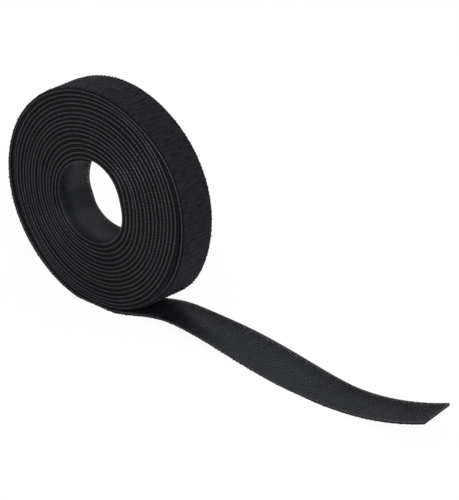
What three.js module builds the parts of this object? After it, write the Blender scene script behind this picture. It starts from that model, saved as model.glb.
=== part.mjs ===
// Hook and loop tape wound into a coreless roll. The roll stands on its rim and the tape's free end
// runs out along the ground. Millimetres: X along the free end, Y along the roll's axis, Z up, and
// the middle of the flat that the roll stands on is the origin.
import * as THREE from "three";

// Tape: a moulded hook strip and a knitted loop fabric, bonded back to back
const tapeWidth = 16;
const hookStripThickness = 0.35;
const bondFilmThickness = 0.1;
const knitThickness = 0.15;
const pileHeight = 0.5;

// Roll: the hook side faces inwards, and the inner end lies part of a turn before the ground. Between
// turns there is at least a gap for the hooks. The bore lies off centre, away from the free end, and
// the outside is a little out of round.
const coilRadius = 41;
const boreRadius = 14.3;
const boreShift = 2.5;
const boreShiftAngle = THREE.MathUtils.degToRad(198);
const innerPartTurn = 0.475;
const turnGap = 0.45;
const stepsPerTurn = 23;
const outOfRound = 1.2;
const outOfRoundAngle = THREE.MathUtils.degToRad(127);
const leaveAngle = THREE.MathUtils.degToRad(15);

// The last turn stands a little off the one inside it, on the side away from the free end
const standOff = 1;
const standOffBack = THREE.MathUtils.degToRad(90);
const standOffReach = THREE.MathUtils.degToRad(75);

// Free end: it arches off the roll, comes down to the ground and curls up at its tip
const flexLineX = 31;
const flexGap = 0.3;
const humpX = 33;
const humpHeight = 6.4;
const touchDownX = 100.5;
const liftOffX = 96.5;
const tipX = 136.5;
const tipRise = 9;
const freeEndSteps = 10;

// The free end leans to its near edge along the middle and to its far edge at the tip
const middleLean = THREE.MathUtils.degToRad(12.5);
const middleLeanX = 69.5;
const middleLeanReach = 37.5;
const tipLean = THREE.MathUtils.degToRad(-2.5);
const tipLeanStartX = 95;
const tipLeanFullX = 118;

// Sizes that follow from the ones above
const tapeThickness = hookStripThickness + bondFilmThickness + knitThickness + pileHeight;
const windingDepth = coilRadius - tapeThickness - boreRadius;
const mostTurns = windingDepth / (tapeThickness + turnGap);
const turnsToGround = Math.floor(mostTurns - innerPartTurn) + innerPartTurn;
const pitch = windingDepth / turnsToGround;
const fullTurn = 2 * Math.PI;
const step = fullTurn / stepsPerTurn;
const down = -Math.PI / 2;

// Each ply lies between two depths below the hook face. The hook face looks to the roll's middle
// and, on the free end, up.
const plies = {
  hook_strip: {
    inner: 0,
    outer: hookStripThickness,
    material: new THREE.MeshStandardMaterial({ color: "#1f2023", roughness: 0.5, metalness: 0 }),
  },
  bond_film: {
    inner: hookStripThickness,
    outer: hookStripThickness + bondFilmThickness,
    material: new THREE.MeshStandardMaterial({ color: "#3a3a3d", roughness: 0.6, metalness: 0 }),
  },
  loop_fabric: {
    inner: hookStripThickness + bondFilmThickness,
    outer: tapeThickness,
    material: new THREE.MeshStandardMaterial({ color: "#151417", roughness: 0.95, metalness: 0 }),
  },
};

// One wave of a cosine: full height where the offset is zero, and nothing from the reach on
const swell = (offset, reach) => {
  const wave = THREE.MathUtils.clamp(offset / reach, -1, 1);
  return (1 + Math.cos(Math.PI * wave)) / 2;
};

// The winding is a spiral that grows by one pitch a turn. The shift of its bore fades out turn by turn
// while the outside is pressed out of round. Its lowest point lies where the radius changes as fast as
// the circle climbs.
const ovalBulge = (angle) => outOfRound * Math.cos(2 * (angle - outOfRoundAngle));
const ovalSlope = (angle) => -2 * outOfRound * Math.sin(2 * (angle - outOfRoundAngle));
const lowestAngle = down + (pitch / fullTurn + ovalSlope(down)) / coilRadius;
const firstAngle = lowestAngle - fullTurn * turnsToGround;
function hookFaceRadius(angle) {
  const turns = (angle - firstAngle) / fullTurn;
  const outerShare = Math.min(turns / turnsToGround, 1);
  const shift = boreShift * (1 - outerShare) * Math.cos(angle - boreShiftAngle);
  const loose = standOff * swell(angle - lowestAngle + standOffBack, standOffReach);
  return boreRadius + pitch * turns + shift + ovalBulge(angle) * outerShare + loose;
}

// The flat under the roll is one step long, and the pile is pressed away along it
const flatAngles = [lowestAngle - step / 2, lowestAngle + step / 2];
const flatCorners = flatAngles.map((angle) => {
  const radius = hookFaceRadius(angle) + tapeThickness;
  return new THREE.Vector2(radius * Math.cos(angle), radius * Math.sin(angle));
});
const coilCentre = new THREE.Vector2(
  -(flatCorners[0].x + flatCorners[1].x) / 2,
  -Math.min(flatCorners[0].y, flatCorners[1].y) - pileHeight,
);

// A station is a point of the hook face halfway across the tape, with the unit vector across the
// tape and the unit vector down through its thickness.
function windingStation(angle) {
  const outward = new THREE.Vector3(Math.cos(angle), 0, Math.sin(angle));
  const point = outward.clone().multiplyScalar(hookFaceRadius(angle));
  point.x += coilCentre.x;
  point.z += coilCentre.y;
  return { point, across: new THREE.Vector3(0, 1, 0), through: outward };
}

// Steps are counted from the flat, so that the facets of all turns lie side by side
function windingStations() {
  const leave = lowestAngle + leaveAngle;
  const leastStep = step / 4;
  const stepsBefore = Math.floor((flatAngles[1] - firstAngle - leastStep) / step);
  const stations = [windingStation(firstAngle)];
  for (let back = stepsBefore; flatAngles[1] - back * step < leave - leastStep; back -= 1) {
    stations.push(windingStation(flatAngles[1] - back * step));
  }
  stations.push(windingStation(leave));
  return stations;
}

const winding = windingStations();
const leavePoint = winding[winding.length - 1].point;
const leaveSlope = Math.tan(leaveAngle);

// Height of the hook face along the free end: a cubic arch from the roll to the hump, half a cosine
// wave down to the ground, and a parabola up to the tip.
function hookFaceHeight(x) {
  if (x < humpX) {
    const span = humpX - leavePoint.x;
    const t = (x - leavePoint.x) / span;
    const start = 2 * t ** 3 - 3 * t ** 2 + 1;
    const startSlope = t ** 3 - 2 * t ** 2 + t;
    return start * leavePoint.z + startSlope * span * leaveSlope + (1 - start) * humpHeight;
  }
  const fall = Math.min((x - humpX) / (touchDownX - humpX), 1);
  const rise = Math.max((x - liftOffX) / (tipX - liftOffX), 0);
  const arch = ((humpHeight - tapeThickness) * (1 + Math.cos(Math.PI * fall))) / 2;
  return tapeThickness + arch + tipRise * rise ** 2;
}

// Sideways lean of the free end: one cosine wave along the middle, then a smooth step to the tip
function lean(x) {
  const tipShare = THREE.MathUtils.smoothstep(x, tipLeanStartX, tipLeanFullX);
  return middleLean * swell(x - middleLeanX, middleLeanReach) + tipLean * tipShare;
}

function freeStation(x) {
  const ahead = hookFaceHeight(x + flexGap / 2);
  const slope = (ahead - hookFaceHeight(x - flexGap / 2)) / flexGap;
  const along = new THREE.Vector3(1, 0, slope).normalize();
  const across = new THREE.Vector3(0, 1, 0).applyAxisAngle(along, lean(x));
  const through = new THREE.Vector3().crossVectors(across, along);
  return { point: new THREE.Vector3(x, 0, hookFaceHeight(x)), across, through, along };
}

// Next to the flex line the tape runs straight, square to the line, for its own thickness
const flexStation = freeStation(flexLineX);
function besideFlexLine(distance) {
  const point = flexStation.point.clone().addScaledVector(flexStation.along, distance);
  return { ...flexStation, point };
}

const rollStations = [
  ...winding,
  freeStation((leavePoint.x + flexLineX) / 2),
  besideFlexLine(-flexGap / 2 - tapeThickness),
  besideFlexLine(-flexGap / 2),
];
const straightEnd = besideFlexLine(flexGap / 2 + tapeThickness);
const freeStepLength = (tipX - straightEnd.point.x) / freeEndSteps;
const freeEndStations = [
  besideFlexLine(flexGap / 2),
  straightEnd,
  ...Array.from({ length: freeEndSteps }, (_, i) =>
    freeStation(straightEnd.point.x + (i + 1) * freeStepLength),
  ),
];

// Corner of a ply: depth below the hook face and side of the tape (-1 near, 1 far). Nothing reaches
// below the ground, where the pile is pressed flat.
function corner({ point, across, through }, depth, side) {
  const place = point
    .clone()
    .addScaledVector(across, (side * tapeWidth) / 2)
    .addScaledVector(through, depth);
  place.z = Math.max(place.z, 0);
  return place;
}

// One closed tube of rectangular section through the stations, with a flat face on each end
function plyGeometry(stations, inner, outer) {
  const rings = stations.map((station) => [
    corner(station, inner, 1),
    corner(station, inner, -1),
    corner(station, outer, -1),
    corner(station, outer, 1),
  ]);
  const sides = rings[0].length;
  const positions = rings.flatMap((ring) => ring.flatMap((place) => place.toArray()));
  const triangles = [];
  for (let ring = 0; ring < rings.length - 1; ring += 1) {
    for (let side = 0; side < sides; side += 1) {
      const a = ring * sides + side;
      const b = ring * sides + ((side + 1) % sides);
      const nextA = a + sides;
      const nextB = b + sides;
      // The inner and outer faces are split along the same diagonal, so that plies meet face to face
      const split = side < sides / 2 ? [a, b, nextB, a, nextB, nextA] : [a, b, nextA, b, nextB, nextA];
      triangles.push(...split);
    }
  }
  const last = (rings.length - 1) * sides;
  triangles.push(0, 2, 1, 0, 3, 2, last, last + 1, last + 2, last, last + 2, last + 3);
  const geometry = new THREE.BufferGeometry();
  geometry.setAttribute("position", new THREE.Float32BufferAttribute(positions, 3));
  geometry.setIndex(triangles);
  geometry.computeVertexNormals();
  return geometry;
}

// Least distance from the outer face of one turn to the inner face of the next, on points at the
// corners and halfway along the facets.
function leastGapBetweenTurns(stations, inner, outer) {
  const line = (depth) => stations.map((station) => corner(station, depth, 0));
  const innerLine = line(inner);
  const outerLine = line(outer);
  const probes = outerLine.flatMap((place, i) => [
    { place, i },
    { place: place.clone().lerp(outerLine[Math.min(i + 1, outerLine.length - 1)], 1 / 2), i },
  ]);
  const nearest = new THREE.Vector3();
  let least = Infinity;
  for (const { place, i } of probes) {
    for (let next = i + Math.round(stepsPerTurn / 2); next < innerLine.length - 1; next += 1) {
      new THREE.Line3(innerLine[next], innerLine[next + 1]).closestPointToPoint(place, true, nearest);
      least = Math.min(least, nearest.distanceTo(place));
    }
  }
  return least;
}

const root = new THREE.Group();
const freeEnd = new THREE.Group();
root.add(freeEnd);
for (const [name, { inner, outer, material }] of Object.entries(plies)) {
  const wound = new THREE.Mesh(plyGeometry(rollStations, inner, outer), material);
  wound.name = `${name}_roll`;
  root.add(wound);
  const loose = new THREE.Mesh(plyGeometry(freeEndStations, inner, outer), material);
  loose.name = `${name}_free_end`;
  freeEnd.add(loose);
  const gap = leastGapBetweenTurns(rollStations, inner, outer);
  console.log(`${name}: least gap to itself ${gap.toFixed(2)} mm`);
}
const tapeGap = leastGapBetweenTurns(rollStations, 0, tapeThickness);
console.log(`tape: least gap between turns ${tapeGap.toFixed(2)} mm, pitch ${pitch.toFixed(2)} mm`);

export default root;
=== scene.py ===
import math

import bpy
import numpy as np
from mathutils import Matrix


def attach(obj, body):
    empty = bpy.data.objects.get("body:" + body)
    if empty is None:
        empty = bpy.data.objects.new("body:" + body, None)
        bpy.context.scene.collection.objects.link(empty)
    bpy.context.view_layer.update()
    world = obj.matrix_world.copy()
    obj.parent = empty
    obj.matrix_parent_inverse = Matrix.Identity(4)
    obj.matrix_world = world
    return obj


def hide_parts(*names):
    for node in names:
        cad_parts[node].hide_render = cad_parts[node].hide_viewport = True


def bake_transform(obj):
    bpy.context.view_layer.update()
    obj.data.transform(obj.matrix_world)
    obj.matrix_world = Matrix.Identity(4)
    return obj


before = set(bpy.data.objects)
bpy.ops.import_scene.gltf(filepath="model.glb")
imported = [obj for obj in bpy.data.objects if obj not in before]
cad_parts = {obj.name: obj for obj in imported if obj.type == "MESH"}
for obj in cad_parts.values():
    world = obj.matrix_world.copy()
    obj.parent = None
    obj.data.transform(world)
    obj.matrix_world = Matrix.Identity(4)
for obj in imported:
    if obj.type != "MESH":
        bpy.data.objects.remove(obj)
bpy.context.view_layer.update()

mm = 0.001
fullTurn = 2 * math.pi
scene = bpy.context.scene


# Camera: the photograph's viewing angle, 0.65 m away, with a long lens
camera = {
    "azimuth": math.radians(35.50),
    "elevation": math.radians(27.57),
    "roll": math.radians(3.90),
    "place": (0.3621, -0.4368, 0.3182),
    "lens": 129.6,
    "sensor": 36.0,
    "clip": (0.01, 20.0),
}


def facing(right, up, back, place):
    # Matrix of an object at a place, whose own axes point these ways
    return Matrix([[right[i], up[i], back[i], place[i]] for i in range(3)] + [[0, 0, 0, 1]])


def addCamera():
    # Back axis from azimuth and elevation, right axis level, both turned by the roll about the view
    az, el, roll = camera["azimuth"], camera["elevation"], camera["roll"]
    back = np.array([math.sin(az) * math.cos(el), -math.cos(az) * math.cos(el), math.sin(el)])
    level = np.array([math.cos(az), math.sin(az), 0.0])
    upright = np.cross(back, level)
    right = math.cos(roll) * level + math.sin(roll) * upright
    up = np.cross(back, right)
    lens = bpy.data.cameras.new("camera")
    lens.lens = camera["lens"]
    lens.sensor_width = camera["sensor"]
    lens.clip_start, lens.clip_end = camera["clip"]
    viewer = bpy.data.objects.new("camera", lens)
    viewer.matrix_world = facing(right, up, back, camera["place"])
    scene.collection.objects.link(viewer)
    scene.camera = viewer


addCamera()
print("camera placed")


# The tape's plies, in millimetres, and the coil and free end that they follow. The values are the CAD's,
# but for the flat under the coil (restLift, restHalf) and small fits of the free end to the photograph:
# its tip, its drift to the far side and how far its pile settles.
tape = {
    "width": 16.0,
    "hookBase": 0.35,
    "bondFilm": 0.1,
    "knit": 0.15,
    "pile": 0.5,
    "pathStep": 0.1,
    "leastHeight": 0.02,
}
coil = {
    "radius": 41.0,
    "boreRadius": 14.3,
    "boreShift": 2.5,
    "boreShiftAngle": math.radians(198),
    "innerPartTurn": 0.475,
    "turnGap": 0.45,
    "facetsPerTurn": 23,
    "outOfRound": 1.2,
    "outOfRoundAngle": math.radians(127),
    "standOff": 1.0,
    "standOffBack": math.radians(90),
    "standOffReach": math.radians(75),
    "leaveAngle": math.radians(15),
    "restLift": 0.58,
    "restHalf": 10.6,
}
freeEnd = {
    "humpX": 33.0,
    "humpHeight": 6.4,
    "touchDownX": 100.5,
    "liftOffX": 96.5,
    "tipX": 135.6,
    "tipRise": 9.3,
    "middleLean": math.radians(12.5),
    "middleLeanX": 69.5,
    "middleLeanReach": 37.5,
    "tipLean": math.radians(-0.6),
    "tipLeanStartX": 95.0,
    "tipLeanFullX": 118.0,
    "bendStartX": 26.0,
    "bendEndX": 36.0,
    "drift": 0.4,
    "driftReach": 30.0,
    "settle": 0.24,
    "settleReach": 20.0,
}
# Places where the wound turns are pushed outwards or, below zero, inwards: angle and reach in
# degrees, the turn pushed most and how many turns it spreads over, the push, and a tilt in degrees
# where there is one
looseSpots = [
    {"angle": 262, "reach": 55, "turn": 12.5, "spread": 3.4, "push": 0.9},
    {"angle": 300, "reach": 35, "turn": 5.0, "spread": 4.5, "push": 0.9},
    {"angle": 340, "reach": 33, "turn": 14.5, "spread": 4.5, "push": -1.5},
    {"angle": 5, "reach": 32, "turn": 5.0, "spread": 4.5, "push": -0.8},
    {"angle": 62, "reach": 30, "turn": 13.2, "spread": 2.2, "push": 1.0},
    {"angle": 130, "reach": 35, "turn": 6.5, "spread": 3.0, "push": 0.8},
    {"angle": 14, "reach": 32, "turn": 1.0, "spread": 2.0, "push": -0.8},
    {"angle": 45, "reach": 55, "turn": 0.8, "spread": 0.9, "push": -0.45},
    {"angle": 195, "reach": 45, "turn": 0.2, "spread": 0.6, "push": -0.35, "tilt": 2.5},
    {"angle": 206, "reach": 11, "turn": 0.3, "spread": 0.5, "push": -0.4},
    {"angle": 150, "reach": 14, "turn": 0.15, "spread": 0.3, "push": 0.2},
]
# The last turn is pushed too, and tilts in degrees, above zero with its near edge outwards
lastTurnSpots = [
    {"angle": 35, "reach": 26, "push": 0.45, "tilt": 3.6},
    {"angle": -42, "reach": 20, "push": 0.35, "tilt": -4.5},
    {"angle": 250, "reach": 24, "push": 0.45, "tilt": 0.0},
]
# Edges of the turns: how far single turns stand out of the coil's face or back from it, and where the
# last turn stands back
edgeOffsets = {
    "uneven": 0.13,
    "grain": 60.0,
    "lastBack": 1.0,
    "lastAngle": -42,
    "lastReach": 20,
    "lastHalf": 0.25,
    "seed": 5,
}
# How the two lines are drawn: the pushes fade towards the free end over one angle and grow from the
# inner end over another, the last turn's own places take over within a share of a turn, and the flat on
# the ground fades out over some turns
winding = {
    "woundPoints": 40000,
    "freePoints": 4000,
    "fadeReach": math.radians(40),
    "growReach": math.radians(60),
    "changeOver": 0.12,
    "flatTurns": 3,
}
# Room below the pile: the clear gap over the next hook face, how far the pile is pressed or springs up,
# as shares of its height, the room that stands for no turn below, and the one from which that holds
pileRoom = {"clear": 0.05, "mostPressed": 0.15, "mostSprung": 1.9, "none": 1000.0, "open": 10.0}

filmDepth = tape["hookBase"]
knitDepth = filmDepth + tape["bondFilm"]
pileDepth = knitDepth + tape["knit"]
tapeDepth = pileDepth + tape["pile"]
halfWidth = tape["width"] / 2
windingDepth = coil["radius"] - tapeDepth - coil["boreRadius"]
mostTurns = windingDepth / (tapeDepth + coil["turnGap"])
turnsToGround = math.floor(mostTurns - coil["innerPartTurn"]) + coil["innerPartTurn"]
pitch = windingDepth / turnsToGround
facet = fullTurn / coil["facetsPerTurn"]
down = -math.pi / 2


def ovalBulge(angle):
    # Two-lobed wave round the coil: it stands out along one diameter and in along the other
    return coil["outOfRound"] * np.cos(2 * (angle - coil["outOfRoundAngle"]))


ovalSlope = -2 * coil["outOfRound"] * math.sin(2 * (down - coil["outOfRoundAngle"]))
lowestAngle = down + (pitch / fullTurn + ovalSlope) / coil["radius"]
firstAngle = lowestAngle - fullTurn * turnsToGround
leaveAngle = lowestAngle + coil["leaveAngle"]


def smoothNoise(shape, steps, grains, seed):
    # White noise blurred to a grain size along each axis: its transform times a Gaussian, then scaled
    # to a spread of one. Steps and grains are in millimetres.
    white = np.random.default_rng(seed).standard_normal(shape)
    along = np.fft.fftfreq(shape[0], steps[0])[:, None] * grains[0]
    across = np.fft.rfftfreq(shape[1], steps[1])[None, :] * grains[1]
    soft = np.fft.irfft2(np.fft.rfft2(white) * np.exp(-2 * (along**2 + across**2)), s=shape)
    return soft / soft.std()


def swell(offset, reach):
    # One wave of a cosine: one where the offset is zero, and nothing from the reach on
    return (1 + np.cos(math.pi * np.clip(offset / reach, -1, 1))) / 2


def smoothStep(share):
    # The cubic that leaves zero and reaches one without a kink
    share = np.clip(share, 0, 1)
    return share**2 * (3 - 2 * share)


def evenRadius(angle):
    # Spiral growing one pitch a turn. The bore's shift fades out turn by turn while the out-of-round
    # wave grows, and the last turn stands off.
    turns = (angle - firstAngle) / fullTurn
    outerShare = np.minimum(turns / turnsToGround, 1)
    shift = coil["boreShift"] * (1 - outerShare) * np.cos(angle - coil["boreShiftAngle"])
    loose = coil["standOff"] * swell(angle - lowestAngle + coil["standOffBack"], coil["standOffReach"])
    return coil["boreRadius"] + pitch * turns + shift + ovalBulge(angle) * outerShare + loose


def bell(angle, middle, reach):
    # Gaussian over the angle's distance from a middle angle, whichever way round is shorter
    off = (angle - math.radians(middle) + math.pi) % fullTurn - math.pi
    return np.exp(-((off / math.radians(reach)) ** 2))


def looseness(angle):
    # Sum over the loose spots of a bell over the angle times a Gaussian over the turns. In the last
    # turn a smooth step changes over to its own bells.
    turns = (angle - firstAngle) / fullTurn
    wound, lean = np.zeros_like(angle), np.zeros_like(angle)
    for spot in looseSpots:
        near = np.exp(-(((turns - spot["turn"]) / spot["spread"]) ** 2))
        near = near * bell(angle, spot["angle"], spot["reach"])
        wound += spot["push"] * near
        lean += spot.get("tilt", 0) * near
    push = sum(spot["push"] * bell(angle, spot["angle"], spot["reach"]) for spot in lastTurnSpots)
    tilt = sum(spot["tilt"] * bell(angle, spot["angle"], spot["reach"]) for spot in lastTurnSpots)
    change = smoothStep((turns - turnsToGround + 1) / winding["changeOver"])
    return wound * (1 - change) + push * change, np.radians(lean * (1 - change) + tilt * change)


def coilMiddle():
    # The coil stands on the facet under its lowest point, with the pile pressed away
    ends = np.array([lowestAngle - facet / 2, lowestAngle + facet / 2])
    outer = evenRadius(ends) + tapeDepth
    return -np.mean(outer * np.cos(ends)), -np.min(outer * np.sin(ends)) - tape["pile"]


middleX, middleZ = coilMiddle()


def woundPath():
    # Points of the hook face along the winding, flattened where the coil rests on the ground, with the
    # tilt there and the room to the next turn's hook face
    angle = np.linspace(firstAngle, leaveAngle, winding["woundPoints"])
    calm = smoothStep((leaveAngle - angle) / winding["fadeReach"])
    start = np.clip((angle - firstAngle) / winding["growReach"], 0, 1)
    loose, tilt = looseness(angle)
    radius = evenRadius(angle) + loose * calm * start
    x = middleX + radius * np.cos(angle)
    z = middleZ + radius * np.sin(angle)
    turnsLeft = (lowestAngle + math.pi - angle) / fullTurn
    flat = np.where(np.abs(x) < coil["restHalf"], 1 + np.cos(math.pi * x / coil["restHalf"]), 0) / 2
    fading = np.exp(-np.maximum(turnsLeft - 0.5, 0) / winding["flatTurns"])
    z = z + coil["restLift"] * flat * fading * (np.sin(angle) < 0)
    room = np.interp(angle + fullTurn, angle, radius, right=pileRoom["none"]) - radius
    steps = (math.degrees(angle[1] - angle[0]), 1.0)
    grains = (edgeOffsets["grain"], 0.0)
    uneven = smoothNoise((len(angle), 2), steps, grains, edgeOffsets["seed"])[:, 0]
    back = edgeOffsets["uneven"] * uneven * calm
    lastTurns = (angle - firstAngle) / fullTurn - turnsToGround + 1 - winding["changeOver"]
    lastBell = bell(angle, edgeOffsets["lastAngle"], edgeOffsets["lastReach"])
    back += edgeOffsets["lastBack"] * lastBell * (np.abs(lastTurns) < edgeOffsets["lastHalf"])
    return np.stack([x, back, z], axis=1), tilt * calm, room


def freeHeight(x, leave):
    # Cubic arch from the coil to the hump, half a cosine wave to the ground, a parabola up to the tip
    span = freeEnd["humpX"] - leave[0]
    t = (x - leave[0]) / span
    start = 2 * t**3 - 3 * t**2 + 1
    arch = start * leave[2] + (t**3 - 2 * t**2 + t) * span * math.tan(coil["leaveAngle"])
    arch += (1 - start) * freeEnd["humpHeight"]
    fall = np.clip((x - freeEnd["humpX"]) / (freeEnd["touchDownX"] - freeEnd["humpX"]), 0, 1)
    rise = np.maximum((x - freeEnd["liftOffX"]) / (freeEnd["tipX"] - freeEnd["liftOffX"]), 0)
    wave = (freeEnd["humpHeight"] - tapeDepth) * (1 + np.cos(math.pi * fall)) / 2
    return np.where(x < freeEnd["humpX"], arch, tapeDepth + wave + freeEnd["tipRise"] * rise**2)


def freeLean(x):
    # Sideways lean: one cosine wave along the middle, then a smooth step towards the tip
    wave = swell(x - freeEnd["middleLeanX"], freeEnd["middleLeanReach"])
    tip = (x - freeEnd["tipLeanStartX"]) / (freeEnd["tipLeanFullX"] - freeEnd["tipLeanStartX"])
    return freeEnd["middleLean"] * wave + freeEnd["tipLean"] * smoothStep(tip)


def tapePath():
    # The whole tape as one line at equal steps of its length, with the directions along it, across it
    # and through it at each step
    wound, woundTilt, woundRoom = woundPath()
    leave = wound[-1]
    x = np.linspace(leave[0], freeEnd["tipX"], winding["freePoints"])[1:]
    drift = freeEnd["drift"] * smoothStep((x - leave[0]) / freeEnd["driftReach"])
    free = np.stack([x, leave[1] + drift, freeHeight(x, leave)], axis=1)
    points = np.concatenate([wound, free])
    tilt = np.concatenate([woundTilt, freeLean(x)])
    settled = smoothStep((x - leave[0]) / freeEnd["settleReach"])
    freeRoom = tapeDepth + pileRoom["clear"] - freeEnd["settle"] * settled
    room = np.concatenate([woundRoom, freeRoom])
    length = np.concatenate([[0], np.cumsum(np.linalg.norm(np.diff(points, axis=0), axis=1))])
    even = np.arange(0, length[-1], tape["pathStep"])
    line = np.stack([np.interp(even, length, points[:, i]) for i in range(3)], axis=1)
    tilt = np.interp(even, length, tilt)[:, None]
    room = np.interp(even, length, room)
    along = np.gradient(line, axis=0)
    along /= np.linalg.norm(along, axis=1)[:, None]
    side = np.array([[0.0, 1.0, 0.0]])
    across = side * np.cos(tilt) + np.cross(along, side) * np.sin(tilt)
    through = np.cross(across, along)
    return (line, along, across, through), room, length[len(wound) - 1], even[-1]


(pathLine, pathAlong, pathAcross, pathThrough), pathRoom, leaveLength, tipLength = tapePath()
between = pathRoom[pathRoom < pileRoom["open"]]
print(f"tape path: {leaveLength:.0f} mm wound, {tipLength - leaveLength:.0f} mm free")
print(f"turns lie {between.min():.2f} to {between.max():.2f} mm apart")


def pressed(lengths, depths):
    # Between the turns the pile's depth below the knit follows the room there: it springs up round the
    # hooks of the next turn or is pressed by them. On the outside it keeps its height.
    room = np.interp(lengths, np.arange(len(pathRoom)) * tape["pathStep"], pathRoom)
    share = (room - pileRoom["clear"] - pileDepth) / tape["pile"]
    share = np.clip(share, pileRoom["mostPressed"], pileRoom["mostSprung"])
    share = np.where(room > pileRoom["open"], 1, share)
    return np.where(depths > pileDepth, pileDepth + (depths - pileDepth) * share, depths)


def onTape(length, side, depth):
    # Point at a length along the tape, a distance to its far side and a depth below its hook face, in
    # metres. Between the path's steps the directions are mixed in proportion. Nothing is underground.
    length, side, depth = np.broadcast_arrays(length, side, pressed(length, depth))
    place = np.clip(length, 0, tipLength - tape["pathStep"] / 2) / tape["pathStep"]
    low = np.minimum(place.astype(int), len(pathLine) - 2)
    share = (place - low)[..., None]

    def mix(table):
        return table[low] * (1 - share) + table[low + 1] * share

    over = (length - place * tape["pathStep"])[..., None]
    found = mix(pathLine) + mix(pathAcross) * side[..., None] + mix(pathThrough) * depth[..., None]
    found = found + mix(pathAlong) * over
    found[..., 2] = np.maximum(found[..., 2], tape["leastHeight"])
    return found * mm


def hexColour(code):
    # sRGB hex to linear, by the standard curve
    parts = [int(code[i : i + 2], 16) / 255 for i in (1, 3, 5)]
    linear = [c / 12.92 if c <= 0.04045 else ((c + 0.055) / 1.055) ** 2.4 for c in parts]
    return (*linear, 1.0)


def addMesh(name, points, faces, lengths, sides, material, smooth=True):
    # One mesh from points (n, 3), faces (m, 3 or 4), and each point's length and side on the tape in
    # millimetres, kept as a UV map in centimetres for the patterns that follow the tape
    mesh = bpy.data.meshes.new(name)
    corners = faces.shape[1]
    mesh.vertices.add(len(points))
    mesh.vertices.foreach_set("co", points.astype(np.float32).ravel())
    mesh.loops.add(faces.size)
    mesh.loops.foreach_set("vertex_index", faces.astype(np.int32).ravel())
    mesh.polygons.add(len(faces))
    mesh.polygons.foreach_set("loop_start", np.arange(0, faces.size, corners, dtype=np.int32))
    mesh.polygons.foreach_set("use_smooth", np.full(len(faces), smooth))
    mesh.update(calc_edges=True)
    onSheet = np.stack([lengths, sides], axis=1)[faces.ravel()] / 10
    mesh.uv_layers.new(name="tapeLength").data.foreach_set("uv", onSheet.astype(np.float32).ravel())
    mesh.validate()
    piece = bpy.data.objects.new(name, mesh)
    scene.collection.objects.link(piece)
    mesh.materials.append(material)
    print(f"{name}: {len(points)} points, {len(faces)} faces")
    return piece


def tubeFaces(rings, around):
    # Four-sided faces between the rings of a closed tube
    ring = np.arange(rings - 1)[:, None] * around
    here = np.arange(around)[None, :]
    nextOne = (here + 1) % around
    faces = np.stack([ring + here, ring + nextOne, ring + around + nextOne, ring + around + here], axis=-1)
    return faces.reshape(-1, 4)


def capFaces(around, base, flip):
    # The flat end of a tube with an even number of corners, as a strip of four-sided faces
    i = np.arange(around // 2 - 1)
    faces = np.stack([i, i + 1, around - 2 - i, around - 1 - i], axis=1) + base
    return faces[:, ::-1] if flip else faces


def addPly(name, span, step, ring, material, shape=None):
    # A closed tube along the tape: the ring's points (side, depth) are carried along the span, and
    # shape may move them as a function of length, side and depth
    count = int(math.ceil((span[1] - span[0]) / step)) + 1
    around = len(ring)
    lengths = np.repeat(np.linspace(*span, count)[:, None], around, axis=1)
    sides = np.repeat(ring[:, 0][None, :], count, axis=0)
    depths = np.repeat(ring[:, 1][None, :], count, axis=0)
    if shape is not None:
        sides, depths = shape(lengths, sides, depths)
    points = onTape(lengths, sides, depths).reshape(-1, 3)
    ends = [capFaces(around, 0, True), capFaces(around, (count - 1) * around, False)]
    faces = np.concatenate([tubeFaces(count, around)] + ends)
    return addMesh(name, points, faces, lengths.ravel(), sides.ravel(), material)


def bevelledRing(half, top, bottom, upper, lower):
    # Section of a strip: its four corners cut off at 45 degrees, the upper and the lower ones by their own
    # amounts, and one point halfway along its two faces, starting at the near side
    nearTop = np.array([[-half, top + upper], [-half + upper, top]])
    farBottom = np.array([[half, bottom - lower], [half - lower, bottom]])
    middleTop, middleBottom = np.array([[0.0, top]]), np.array([[0.0, bottom]])
    farTop = nearTop[::-1] * [-1, 1]
    nearBottom = farBottom[::-1] * [-1, 1]
    return np.concatenate([nearTop, middleTop, farTop, farBottom, middleBottom, nearBottom])


def addNode(tree, kind, values=None, links=None, **settings):
    # One shader node with its settings, its inputs' values and the links that feed it
    node = tree.nodes.new(kind)
    for key, value in settings.items():
        setattr(node, key, value)
    for key, value in (values or {}).items():
        node.inputs[key].default_value = value
    for key, source in (links or {}).items():
        tree.links.new(source, node.inputs[key])
    return node


def newMaterial(name):
    # A material with an empty node tree
    material = bpy.data.materials.new(name)
    material.use_nodes = True
    tree = material.node_tree
    tree.nodes.clear()
    return material, tree


# Loop fabric: the knit and its pile, whose outer corners are rounded by wear
loopFabric = {
    "inset": 0.12,
    "pileRadius": 0.3,
    "knitCorner": 0.05,
    "roundPoints": 5,
    "flatPoints": 3,
    "step": 0.9,
}
fabricHalf = halfWidth - loopFabric["inset"]


# Hook strip: the moulded base. Its slit edges are bevelled, and beaded where the knife cut through the
# rows of hooks.
hookStrip = {
    "upperBevel": 0.05,
    "lowerBevel": 0.22,
    "step": 0.3,
    "knurl": 1.08,
    "knurlDepth": 0.07,
    "knurlShare": 0.8,
    "bead": 0.12,
    "beadDepth": 0.1,
    "edgeBand": 0.3,
    "wanderGrain": 5.0,
    "knurlWander": 0.4,
    "beadWander": 0.3,
    "seed": 11,
}


def addMaths(tree, operation, *inputs):
    # A maths node, each of whose inputs is a number or another node's output
    node = addNode(tree, "ShaderNodeMath", operation=operation)
    for i, given in enumerate(inputs):
        if isinstance(given, (int, float)):
            node.inputs[i].default_value = given
        else:
            tree.links.new(given, node.inputs[i])
    return node.outputs[0]


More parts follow.
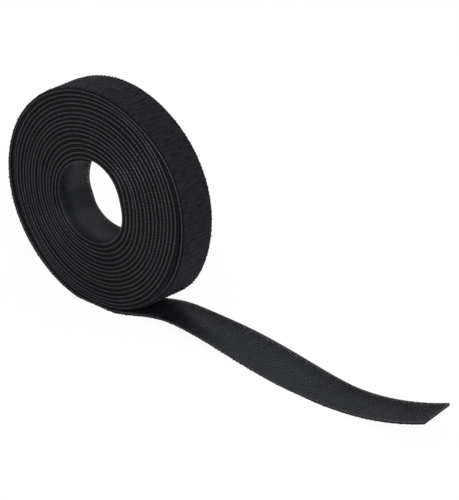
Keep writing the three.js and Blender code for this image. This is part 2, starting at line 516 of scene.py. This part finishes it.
def addRamp(tree, value, low, high, toLow=0.0, toHigh=1.0):
    # A straight ramp over a value, level below its low end and above its high end
    ends = {"From Min": low, "From Max": high, "To Min": toLow, "To Max": toHigh}
    return addNode(tree, "ShaderNodeMapRange", ends, {"Value": value}).outputs[0]


def addGrain(tree, size, detail, roughness=0.5):
    # Noise through the object's own space, with the size of its largest grain in millimetres
    place = addNode(tree, "ShaderNodeTexCoord").outputs["Object"]
    values = {"Scale": 1 / (size * mm), "Detail": detail, "Roughness": roughness}
    return addNode(tree, "ShaderNodeTexNoise", values, {"Vector": place}).outputs[0]


def addTone(tree, look, share):
    # The look's dark colour mixed with its light one by a share
    colours = {"Color1": hexColour(look["dark"]), "Color2": hexColour(look["light"])}
    return addNode(tree, "ShaderNodeMixRGB", colours, {"Fac": share}).outputs[0]


def addTapePlace(tree):
    # Place on the tape in centimetres: the map itself, the length along the tape, and the distance off
    # its middle line
    place = addNode(tree, "ShaderNodeUVMap", uv_map="tapeLength").outputs[0]
    apart = addNode(tree, "ShaderNodeSeparateXYZ", links={"Vector": place})
    return place, apart.outputs[0], addMaths(tree, "ABSOLUTE", apart.outputs[1])


def addBump(tree, look, height):
    # The finest grain as bump, with its depth in millimetres
    values = {"Strength": look["bump"], "Distance": look["bumpDepth"] * mm}
    return addNode(tree, "ShaderNodeBump", values, {"Height": height}).outputs[0]


def addSurface(tree, values, links):
    # The material's one shader, joined to its output
    shader = addNode(tree, "ShaderNodeBsdfPrincipled", values, links)
    addNode(tree, "ShaderNodeOutputMaterial", links={"Surface": shader.outputs[0]})


# Moulded nylon: the hook strip is cast from black nylon. The mould leaves a satin gloss that mirrors bright
# surroundings on every stem, and the slitting knife leaves its edges rougher and paler; their paler colour
# is partly the rough cut's own and partly painted highlight for the light that the edges catch.
mouldedNylon = {
    "dark": "#0a0b0e",
    "light": "#15171c",
    # paler colour of the slit edges: partly the rough cut's own, partly painted highlight
    "cutAndGlint": "#47484f",
    "gloss": "#e4e8f2",
    "roughness": 0.3,
    "cutRoughness": 0.42,
    "cutWidth": 0.16,
    "cutMargin": 0.06,
    "stemGloss": 0.5,
    "gapGloss": 0.1,
    "grain": 0.3,
    "patch": 9.0,
    "patchLift": 0.05,
    "toneRange": (0.18, 0.45),
    "beadDrift": 30.0,
    "beadShare": 0.16,
    # where along the beads the painted glints on the slit edges begin and are full
    "beadGlintRange": (0.3, 0.72),
    "bump": 0.3,
    "bumpDepth": 0.03,
}


def makeMouldedNylon():
    # Dark and light by fine grain times wide patches. The edges take the paler cut colour, partly the cut's
    # own and partly painted highlight, where a cosine along the tape, with the grain added, is high, so
    # that it lies in beads as painted glints; where it is low they lose their gloss.
    look = mouldedNylon
    material, tree = newMaterial("mouldedNylon")
    _, length, away = addTapePlace(tree)
    grain = addGrain(tree, look["grain"], 3.0)
    patch = addGrain(tree, look["patch"], 2.0)
    both = addMaths(tree, "MULTIPLY_ADD", grain, patch, look["patchLift"])
    tone = addTone(tree, look, addRamp(tree, both, *look["toneRange"]))
    cutFrom = (halfWidth - look["cutWidth"]) / 10
    cutTo = (halfWidth - look["cutMargin"]) / 10
    edge = addRamp(tree, away, cutFrom, cutTo)
    drift = addMaths(tree, "MULTIPLY", patch, look["beadDrift"])
    turned = addMaths(tree, "MULTIPLY_ADD", length, fullTurn * 10 / hookStrip["knurl"], drift)
    bead = addMaths(tree, "COSINE", turned)
    beaded = addMaths(tree, "MULTIPLY_ADD", bead, look["beadShare"], grain)
    # share of the paler edge colour, in beads: painted glints along the slit edges
    cutAndGlint = addMaths(tree, "MULTIPLY", edge, addRamp(tree, beaded, *look["beadGlintRange"]))
    gap = addMaths(tree, "SUBTRACT", edge, cutAndGlint)
    shade = addNode(
        tree, "ShaderNodeMixRGB", {"Color2": hexColour(look["cutAndGlint"])}, {"Fac": cutAndGlint, "Color1": tone}
    )
    addSurface(
        tree,
        {"IOR": 1.53, "Specular Tint": hexColour(look["gloss"])},
        {
            "Base Color": shade.outputs[0],
            "Roughness": addRamp(tree, edge, 0.0, 1.0, look["roughness"], look["cutRoughness"]),
            "Specular IOR Level": addRamp(tree, gap, 0.0, 1.0, look["stemGloss"], look["gapGloss"]),
            "Normal": addBump(tree, look, grain),
        },
    )
    return material


# Bonding film: thermoplastic adhesive melted between the two plies, a thin greyish line on the edges
bondingFilm = {"dark": "#111113", "light": "#222225", "roughness": 0.5, "grain": 0.6}


def makeBondingFilm():
    look = bondingFilm
    material, tree = newMaterial("meltedBondingFilm")
    tone = addTone(tree, look, addGrain(tree, look["grain"], 2.0))
    addSurface(tree, {"Roughness": look["roughness"], "IOR": 1.5}, {"Base Color": tone})
    return material


# Brushed nylon knit: loops raised from black knitted filament, napped crosswise, so that the surface
# scatters light softly and its turned-away parts glow a little purple-grey
brushedKnit = {
    "dark": "#050406",
    "light": "#25232a",
    "roughness": 0.85,
    "gloss": 0.16,
    "sheen": 0.125,
    "sheenRoughness": 0.4,
    "sheenColour": "#b3abbd",
    "fuzz": 0.55,
    "fuzzShare": 0.6,
    "rib": 0.8,
    "ribScaleAcross": 2.2,
    "toneRange": (0.58, 1.08),
    # share of colour and sheen left at the fabric's edges: painted shade
    "edgeShadeShare": 0.14,
    "edgeWidth": 0.28,
    "edgeMargin": 0.03,
    "bump": 0.7,
    "bumpDepth": 0.25,
}


def makeBrushedKnit():
    # Dark and light by fuzz added to ribs that are stretched across the tape. Towards the edges the colour
    # and the sheen fall to a share: painted shade on the fabric's edges, which lie recessed between the
    # turns.
    look = brushedKnit
    material, tree = newMaterial("brushedNylonKnit")
    place, _, away = addTapePlace(tree)
    fuzz = addGrain(tree, look["fuzz"], 4.0, 0.7)
    ribScale = (10 / look["rib"], look["ribScaleAcross"], 1.0)
    stretch = addNode(tree, "ShaderNodeMapping", {"Scale": ribScale}, {"Vector": place})
    ribs = addNode(
        tree, "ShaderNodeTexNoise", {"Scale": 1.0, "Detail": 3.0}, {"Vector": stretch.outputs[0]}
    )
    mixed = addMaths(tree, "MULTIPLY_ADD", fuzz, look["fuzzShare"], ribs.outputs[0])
    tone = addTone(tree, look, addRamp(tree, mixed, *look["toneRange"]))
    edgeFrom = (fabricHalf - look["edgeWidth"]) / 10
    edgeTo = (fabricHalf - look["edgeMargin"]) / 10
    # painted shade: colour and sheen fall towards the fabric's edges
    edgeShade = addRamp(tree, away, edgeFrom, edgeTo, 1.0, look["edgeShadeShare"])
    shade = addNode(
        tree, "ShaderNodeVectorMath", links={0: tone, "Scale": edgeShade}, operation="SCALE"
    )
    addSurface(
        tree,
        {
            "Roughness": look["roughness"],
            "Specular IOR Level": look["gloss"],
            "Sheen Roughness": look["sheenRoughness"],
            "Sheen Tint": hexColour(look["sheenColour"]),
        },
        {
            "Base Color": shade.outputs[0],
            "Sheen Weight": addMaths(tree, "MULTIPLY", edgeShade, look["sheen"]),
            "Normal": addBump(tree, look, mixed),
        },
    )
    return material


nylon = makeMouldedNylon()
film = makeBondingFilm()
knit = makeBrushedKnit()
print("materials made")


# Lengths of the tape: wound from its inner end's cut to where it leaves the coil, then free to the tip
innerCut = 0.9
wound = (innerCut, leaveLength)
free = (leaveLength, tipLength)


def knurlEdges(lengths, sides, depths):
    # A cosine along the length, with a height that wanders slowly, moves the edge points in and out,
    # and its upper half lifts the edge off the hook face as beads
    strip = hookStrip
    count = len(lengths)
    steps = ((lengths[-1, 0] - lengths[0, 0]) / (count - 1), 1.0)
    wander = smoothNoise((count, 2), steps, (strip["wanderGrain"], 0.0), strip["seed"])[:, 0]
    wave = np.cos(fullTurn * lengths[:, 0] / strip["knurl"])
    inwards = strip["knurlDepth"] * (wave + strip["knurlWander"] * wander) * strip["knurlShare"]
    beads = strip["bead"] * np.clip(wave * (1 + strip["beadWander"] * wander), 0, 1)
    band = strip["edgeBand"]
    edge = np.clip(np.abs(sides) - halfWidth + band, 0, band) / band
    upper = edge * (depths < strip["beadDepth"])
    return sides - np.sign(sides) * edge * inwards[:, None], depths - upper * beads[:, None]


baseRing = bevelledRing(
    halfWidth, 0.0, tape["hookBase"], hookStrip["upperBevel"], hookStrip["lowerBevel"]
)
step = hookStrip["step"]
hookStripWound = addPly("hookStripWound", wound, step, baseRing, nylon, knurlEdges)
hookStripFreeEnd = addPly("hookStripFreeEnd", free, step, baseRing, nylon, knurlEdges)


# Bonding film, a little narrower than the plies that it joins
bondFilm = {"inset": 0.07, "overlap": 0.01, "bevel": 0.04, "step": 0.9}
filmRing = bevelledRing(
    halfWidth - bondFilm["inset"],
    filmDepth - bondFilm["overlap"],
    knitDepth + bondFilm["overlap"],
    bondFilm["bevel"],
    bondFilm["bevel"],
)
bondFilmWound = addPly("bondFilmWound", wound, bondFilm["step"], filmRing, film)
bondFilmFreeEnd = addPly("bondFilmFreeEnd", free, bondFilm["step"], filmRing, film)


def fabricRing():
    # The pile's outer corners as quarter circles, then the knit's corners, cut off a little
    radius, corner = loopFabric["pileRadius"], loopFabric["knitCorner"]
    turn = np.linspace(0, math.pi / 2, loopFabric["roundPoints"])
    out, rise = 1 - np.cos(turn), 1 - np.sin(turn)
    near = np.stack([-fabricHalf + radius * out, tapeDepth - radius * rise], axis=1)
    across = np.linspace(-fabricHalf + radius, fabricHalf - radius, loopFabric["flatPoints"] + 2)[1:-1]
    outer = np.stack([across, np.full(len(across), tapeDepth)], axis=1)
    inner = np.stack([across[::-1], np.full(len(across), knitDepth)], axis=1)
    corners = np.array([[fabricHalf, knitDepth + corner], [fabricHalf - corner, knitDepth]])
    overTop = [near, outer, near[::-1] * [-1, 1]]
    return np.concatenate(overTop + [corners, inner, corners[::-1] * [-1, 1]])[::-1]


ring = fabricRing()
loopFabricWound = addPly("loopFabricWound", wound, loopFabric["step"], ring, knit)
loopFabricFreeEnd = addPly("loopFabricFreeEnd", free, loopFabric["step"], ring, knit)
print("plies made")


# Brushed pile on the coil's outside and under the free end: tufts of raised loops in loose rows
# across the tape. On the coil it covers the last turn, and a little more where the free end leaves.
brushedPile = {
    "step": 0.3,
    "columns": 52,
    "tuft": 0.11,
    "tuftGrain": (0.30, 0.42),
    "row": 0.15,
    "rowSpacing": 1.4,
    "rowSway": 1.2,
    "swayGrain": (5.0, 7.0),
    "clear": 0.02,
    "footInset": 0.03,
    "endFade": 1.5,
    "edgeLoss": 0.6,
    "lastTurnInset": 1.2,
    "startExtra": 12,
    "seed": 21,
}
lastTurnLength = fullTurn * (coil["radius"] - brushedPile["lastTurnInset"])
outside = (leaveLength - lastTurnLength - brushedPile["startExtra"], leaveLength)


def addPile(name, span, seed):
    # A skin over the pile: rounded at both edges, raised by blurred noise and by a cosine row after row
    pile = brushedPile
    columns = pile["columns"]
    radius = loopFabric["pileRadius"]
    sides = np.linspace(-fabricHalf, fabricHalf, columns)
    over = np.clip(np.abs(sides) - (fabricHalf - radius), 0, radius) / radius
    depths = tapeDepth - radius * (1 - np.sqrt(1 - over**2)) + pile["clear"]
    top = np.stack([sides, depths], axis=1)
    foot = fabricHalf - pile["footInset"]
    bottom = np.array([[foot, pileDepth], [-foot, pileDepth]])
    skin = np.concatenate([top, bottom])[::-1]
    count = int(math.ceil((span[1] - span[0]) / pile["step"])) + 1
    grid = (count, len(skin))
    steps = (pile["step"], 2 * fabricHalf / columns)
    tufts = smoothNoise(grid, steps, pile["tuftGrain"], seed)
    sway = smoothNoise(grid, steps, pile["swayGrain"], seed + 1)

    def raised(lengths, sides, depths):
        rows = np.cos(fullTurn * lengths / pile["rowSpacing"] + pile["rowSway"] * sway)
        upper = np.arange(len(skin))[None, :] >= len(bottom)
        lift = pile["tuft"] * tufts + pile["row"] * rows
        ends = np.clip(np.minimum(lengths - span[0], span[1] - lengths) / pile["endFade"], 0, 1)
        lift = lift * ends * upper
        edge = np.clip((np.abs(sides) - fabricHalf + radius) / radius, 0, 1)
        return sides + np.sign(sides) * lift * edge, depths + lift * (1 - pile["edgeLoss"] * edge)

    return addPly(name, span, pile["step"], skin, knit, raised)


pileOutside = addPile("pileOutsideCoil", outside, brushedPile["seed"])
pileUnder = addPile("pileUnderFreeEnd", free, brushedPile["seed"] + 5)


# Single raised loops, each one filament that leaves the pile and comes back to it. Pairs are the least
# and the most of a range, and spreads are those of a normal draw.
raisedLoops = {
    "thickness": 0.05,
    "rings": 6,
    "rimCount": 5200,
    "underCount": 1400,
    "endMargin": 1,
    "sideMargin": 0.1,
    "sunk": 0.05,
    "edgeBand": 0.4,
    "edgeSlope": 0.3,
    "headingSpread": 0.7,
    "width": (0.35, 0.9),
    "rise": (0.1, 0.34),
    "leanSpread": 0.1,
    "seed": 31,
}
edgeLoopRanges = {
    "spacing": 0.52,
    "inset": 0.04,
    "footMargin": 0.05,
    "topMargin": 0.15,
    "endMargin": 0.8,
    "width": (0.25, 0.7),
    "climb": (-0.1, 0.12),
    "out": (0.06, 0.26),
    "leanSpread": 0.06,
    "sink": 0.02,
    # loops along the edges take their colour a little inwards, off the painted shade on the fabric's edges
    "patternShare": 0.96,
}


def addLoops(name, start, reach, sag, fade=1.0):
    # Each loop is a half wave between two points on the pile: start (length, side, depth), reach the way
    # from one foot to the other, and sag the top's way off the line between them. A fade below one draws
    # the loops' place in the pattern inwards, off the painted shade on the fabric's edges.
    rings, corners = raisedLoops["rings"], 3
    t = np.linspace(0, 1, rings)[None, :, None]
    line = start[:, None, :] + reach[:, None, :] * t + sag[:, None, :] * np.sin(math.pi * t)
    tangent = reach / np.linalg.norm(reach, axis=1)[:, None]
    bow = sag / np.linalg.norm(sag, axis=1)[:, None]
    binormal = np.cross(tangent, bow)
    binormal /= np.linalg.norm(binormal, axis=1)[:, None]
    turn = (np.arange(corners) * fullTurn / corners)[None, :, None]
    offset = bow[:, None, :] * np.cos(turn) + binormal[:, None, :] * np.sin(turn)
    found = line[:, :, None, :] + raisedLoops["thickness"] / 2 * offset[:, None, :, :]
    points = onTape(found[..., 0], found[..., 1], found[..., 2]).reshape(-1, 3)
    each = rings * corners
    shift = (np.arange(len(start)) * each)[:, None, None]
    walls = (tubeFaces(rings, corners)[None] + shift).reshape(-1, 4)
    tris = np.concatenate([walls[:, [0, 1, 2]], walls[:, [0, 2, 3]]])
    ends = np.array([[0, 2, 1], [each - 3, each - 2, each - 1]])
    caps = (ends[None] + shift).reshape(-1, 3)
    lengths = found[..., 0].reshape(-1)
    sides = found[..., 1].reshape(-1) * fade
    return addMesh(name, points, np.concatenate([tris, caps]), lengths, sides, knit)


def surfaceLoops(name, span, count, seed):
    # Feet spread evenly at random over the pile's outer face, deeper where its edges are rounded
    look = raisedLoops
    draw = np.random.default_rng(seed)
    length = draw.uniform(span[0] + look["endMargin"], span[1] - look["endMargin"], count)
    side = draw.uniform(-fabricHalf + look["sideMargin"], fabricHalf - look["sideMargin"], count)
    overEdge = np.clip(np.abs(side) - fabricHalf + look["edgeBand"], 0, look["edgeBand"])
    low = tapeDepth - look["sunk"] - look["edgeSlope"] * overEdge
    heading = draw.normal(math.pi / 2, look["headingSpread"], count)
    wide = draw.uniform(*look["width"], count)
    reach = np.stack([wide * np.cos(heading), wide * np.sin(heading), 0 * wide], axis=1)
    side = np.clip(side - reach[:, 1] / 2, -fabricHalf, fabricHalf - np.maximum(reach[:, 1], 0))
    rise = draw.uniform(*look["rise"], count)
    spread = look["leanSpread"]
    sag = np.stack([draw.normal(0, spread, count), draw.normal(0, spread, count), rise], axis=1)
    return addLoops(name, np.stack([length, side, low], axis=1), reach, sag)


def edgeLoops(name, span, far, seed):
    # Feet along one edge of the fabric, with the loops standing out sideways
    look = edgeLoopRanges
    draw = np.random.default_rng(seed)
    count = int((span[1] - span[0]) / look["spacing"])
    length = span[0] + (np.arange(count) + draw.uniform(0, 1, count)) * look["spacing"]
    side = np.full(count, fabricHalf - look["inset"]) * far
    depth = draw.uniform(pileDepth - look["footMargin"], tapeDepth - look["topMargin"], count)
    wide = draw.uniform(*look["width"], count)
    reach = np.stack([wide, 0 * side, draw.uniform(*look["climb"], count)], axis=1)
    out = draw.uniform(*look["out"], count) * far
    lean = draw.normal(0, look["leanSpread"], count)
    sag = np.stack([lean, out, draw.normal(look["sink"], look["leanSpread"], count)], axis=1)
    start = np.stack([length - reach[:, 0] / 2, side, depth], axis=1)
    start[:, 0] = np.clip(start[:, 0], span[0], span[1] - look["endMargin"])
    return addLoops(name, start, reach, sag, fade=look["patternShare"])


seed = raisedLoops["seed"]
loopsOutside = surfaceLoops("loopsOutsideCoil", outside, raisedLoops["rimCount"], seed)
loopsUnder = surfaceLoops("loopsUnderFreeEnd", free, raisedLoops["underCount"], seed + 1)
loopsNearEdge = edgeLoops("loopsNearEdge", wound, -1, seed + 2)
loopsFarEdge = edgeLoops("loopsFarEdge", wound, 1, seed + 3)
loopsFreeNear = edgeLoops("loopsFreeEndNearEdge", free, -1, seed + 4)
loopsFreeFar = edgeLoops("loopsFreeEndFarEdge", free, 1, seed + 5)
print("pile made")


# Hooks: low stems with a flattened head that overhangs both ways along the tape, drawn a little coarser
# than the real ones. They stand in rows across the tape, and each row is set a little to one side of
# the one before. Jitters are the most that a hook is off in length, side, size and lean.
hooks = {
    "alongSpacing": 0.93,
    "rowSpacing": 1.0,
    "rowShift": 0.383,
    "thickness": 0.42,
    "stemHalf": 0.2,
    "stemShare": 0.8,
    "edgeBand": 1.6,
    "edgeMargin": 0.72,
    "startMargin": 0.35,
    "endMargin": 0.3,
    "lengthJitter": 0.03,
    "sideJitter": 0.04,
    "sizeJitter": 0.07,
    "leanJitter": 0.12,
    "patternInset": 0.2,
    "boreInset": 0.5,
    "boreExtra": 8,
    "seed": 41,
}
# One hook from the side, as points (along, depth), from its foot round its head
hookOutline = np.array(
    [
        [-0.15, 0.02],
        [0.15, 0.02],
        [0.11, -0.13],
        [0.3, -0.12],
        [0.27, -0.22],
        [0.11, -0.28],
        [-0.11, -0.28],
        [-0.27, -0.22],
        [-0.3, -0.12],
        [-0.11, -0.13],
    ]
)
# The same outline as triangles between those points
hookFan = np.array([[0, 1, 2], [0, 2, 9], [2, 3, 4], [2, 4, 5], [2, 5, 6], [2, 6, 9], [6, 7, 9], [7, 8, 9]])


def hookPlaces(span, fromSide):
    # Oblique lattice: every row is shifted by the same share, and wraps round at the slit edges
    first = span[0] + hooks["startMargin"]
    i = np.arange(int((span[1] - span[0] - hooks["startMargin"]) / hooks["alongSpacing"]) + 1)[:, None]
    j = np.arange(int(tape["width"] / hooks["rowSpacing"]))[None, :]
    lengths = first + i * hooks["alongSpacing"] + 0 * j
    order = round(span[0] / hooks["alongSpacing"])
    sides = (j + 0.5 - hooks["rowShift"] * (i + order)) * hooks["rowSpacing"]
    sides = sides % tape["width"] - halfWidth
    kept = (np.abs(sides) >= fromSide) & (np.abs(sides) < halfWidth - hooks["edgeMargin"])
    kept &= lengths < span[1] - hooks["endMargin"]
    return lengths[kept], sides[kept]


def addHooks(name, span, fromSide, seed):
    # The outline's points (along, depth) at both faces of each hook, each a little out of place
    lengths, sides = hookPlaces(span, fromSide)
    count, corners = len(lengths), len(hookOutline)
    draw = np.random.default_rng(seed).uniform(-1, 1, (count, 4))
    lengths = lengths + hooks["lengthJitter"] * draw[:, 0]
    sides = sides + hooks["sideJitter"] * draw[:, 1]
    size = (1 + hooks["sizeJitter"] * draw[:, 2])[:, None, None]
    outline = hookOutline[None, None, :, :]
    lean = hooks["leanJitter"] * draw[:, 3][:, None, None] * outline[..., 1]
    along = lengths[:, None, None] + outline[..., 0] * size + lean
    waist = np.where(np.abs(outline[..., 0]) < hooks["stemHalf"], hooks["stemShare"], 1.0)
    bothFaces = np.array([-0.5, 0.5])[None, :, None] * hooks["thickness"]
    across = sides[:, None, None] + bothFaces * waist
    depth = outline[..., 1] * size
    along, across, depth = np.broadcast_arrays(along, across, depth)
    points = onTape(along, across, depth).reshape(-1, 3)
    here = np.arange(corners)
    nextOne = (here + 1) % corners
    lower = np.stack([here, nextOne, nextOne + corners], axis=1)
    upper = np.stack([here, nextOne + corners, here + corners], axis=1)
    wall = np.concatenate([lower, upper])
    solid = np.concatenate([wall[:, ::-1], hookFan[:, ::-1] + corners, hookFan])
    shift = (np.arange(count) * 2 * corners)[:, None, None]
    faces = (solid[None] + shift).reshape(-1, 3)
    patternHalf = halfWidth - hooks["patternInset"]
    onSides = np.repeat(np.clip(sides, -patternHalf, patternHalf), 2 * corners)
    onLengths = np.repeat(lengths, 2 * corners)
    return addMesh(name, points, faces, onLengths, onSides, nylon, smooth=False)


boreEnd = fullTurn * (coil["boreRadius"] + hooks["boreInset"]) + hooks["boreExtra"]
middle = (boreEnd + leaveLength) / 2
edgeFrom = halfWidth - hooks["edgeBand"]
hooksInBore = addHooks("hooksInBore", (innerCut, boreEnd), 0.0, hooks["seed"])
hooksInnerTurns = addHooks("hooksInnerTurns", (boreEnd, middle), edgeFrom, hooks["seed"] + 1)
hooksOuterTurns = addHooks("hooksOuterTurns", (middle, leaveLength), edgeFrom, hooks["seed"] + 2)
hooksFreeEnd = addHooks("hooksFreeEnd", free, 0.0, hooks["seed"] + 3)
print("hooks made")


woundPieces = [
    hookStripWound,
    bondFilmWound,
    loopFabricWound,
    pileOutside,
    loopsOutside,
    loopsNearEdge,
    loopsFarEdge,
    hooksInBore,
    hooksInnerTurns,
    hooksOuterTurns,
]
freePieces = [
    hookStripFreeEnd,
    bondFilmFreeEnd,
    loopFabricFreeEnd,
    pileUnder,
    loopsUnder,
    loopsFreeNear,
    loopsFreeFar,
    hooksFreeEnd,
]
for piece in woundPieces:
    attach(piece, "roll")
for piece in freePieces:
    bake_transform(piece)
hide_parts("hook_strip_roll")
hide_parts("bond_film_roll")
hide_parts("loop_fabric_roll")
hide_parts("hook_strip_free_end")
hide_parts("bond_film_free_end")
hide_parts("loop_fabric_free_end")


# Floor and light: a white paper floor, a white ceiling that darkens down to the horizon, and one key
# light from the upper right
studio = {
    "floorSize": 1.0,
    "floorColour": "#f4f4f4",
    "floorWhite": 0.95,
    "ceilingStrength": 0.9,
    "frontStrength": 0.5,
    "backStrength": 0.06,
    "ceilingHeight": 0.6,
    "backReach": 0.5,
    "darkSide": (0.55, 0.835, 0.0),
    "keyPlace": (1.0, -0.8, 1.05),
    "keyAim": (0.0, 0.0, 0.04),
    "keySize": 0.35,
    "keyPower": 12.0,
}


def addFloor():
    # A flat square sheet under the object, centred on it. The camera sees it white but for its shadows.
    half = studio["floorSize"] / 2
    points = [(-half, -half, 0), (half, -half, 0), (half, half, 0), (-half, half, 0)]
    mesh = bpy.data.meshes.new("floor")
    mesh.from_pydata(points, [], [(0, 1, 2, 3)])
    floor = bpy.data.objects.new("floor", mesh)
    scene.collection.objects.link(floor)
    material, tree = newMaterial("whitePaperFloor")
    paper = addNode(
        tree, "ShaderNodeBsdfDiffuse", {"Color": hexColour(studio["floorColour"]), "Roughness": 0.5}
    )
    white = addNode(tree, "ShaderNodeEmission", {"Color": (1, 1, 1, 1), "Strength": 1.0})
    ray = addNode(tree, "ShaderNodeLightPath")
    seen = addMaths(tree, "MULTIPLY", ray.outputs["Is Camera Ray"], studio["floorWhite"])
    shaders = {0: seen, 1: paper.outputs[0], 2: white.outputs[0]}
    both = addNode(tree, "ShaderNodeMixShader", links=shaders)
    addNode(tree, "ShaderNodeOutputMaterial", links={"Surface": both.outputs[0]})
    mesh.materials.append(material)


def addWorld():
    # White to the camera. As a light it is a white ceiling that darkens down to the horizon, and more so
    # behind the object and to its right than in front of it: strength = horizon + (ceiling - horizon) *
    # height share, horizon = front + (back - front) * the ray's share along the dark side
    world = bpy.data.worlds.new("whiteStudio")
    scene.world = world
    world.use_nodes = True
    tree = world.node_tree
    tree.nodes.clear()
    place = addNode(tree, "ShaderNodeTexCoord")
    apart = addNode(tree, "ShaderNodeSeparateXYZ", links={"Vector": place.outputs["Generated"]})
    turned = addNode(
        tree,
        "ShaderNodeVectorMath",
        {1: studio["darkSide"]},
        {0: place.outputs["Generated"]},
        operation="DOT_PRODUCT",
    )
    reach, front, back = studio["backReach"], studio["frontStrength"], studio["backStrength"]
    horizon = addRamp(tree, turned.outputs["Value"], -reach, reach, front, back)
    height = addNode(
        tree,
        "ShaderNodeMapRange",
        {"From Max": studio["ceilingHeight"], "To Max": studio["ceilingStrength"]},
        {"Value": apart.outputs[2], "To Min": horizon},
    )
    ray = addNode(tree, "ShaderNodeLightPath")
    level = addNode(
        tree, "ShaderNodeMix", {3: 1.0}, {0: ray.outputs["Is Camera Ray"], 2: height.outputs[0]}
    )
    sky = addNode(tree, "ShaderNodeBackground", {"Color": (1, 1, 1, 1)}, {"Strength": level.outputs[0]})
    addNode(tree, "ShaderNodeOutputWorld", links={"Surface": sky.outputs[0]})


def addLight(name, place, aimedAt, size, power):
    # A square area light at one place, aimed at another
    lamp = bpy.data.lights.new(name, "AREA")
    lamp.size = size
    lamp.energy = power
    light = bpy.data.objects.new(name, lamp)
    aim = np.array(aimedAt) - np.array(place)
    back = -aim / np.linalg.norm(aim)
    right = np.cross([0.0, 0.0, 1.0], back)
    right /= np.linalg.norm(right)
    up = np.cross(back, right)
    light.matrix_world = facing(right, up, back, place)
    scene.collection.objects.link(light)


addFloor()
addWorld()
addLight("keyLight", studio["keyPlace"], studio["keyAim"], studio["keySize"], studio["keyPower"])
scene.view_settings.view_transform = "Standard"
print("floor and light placed")
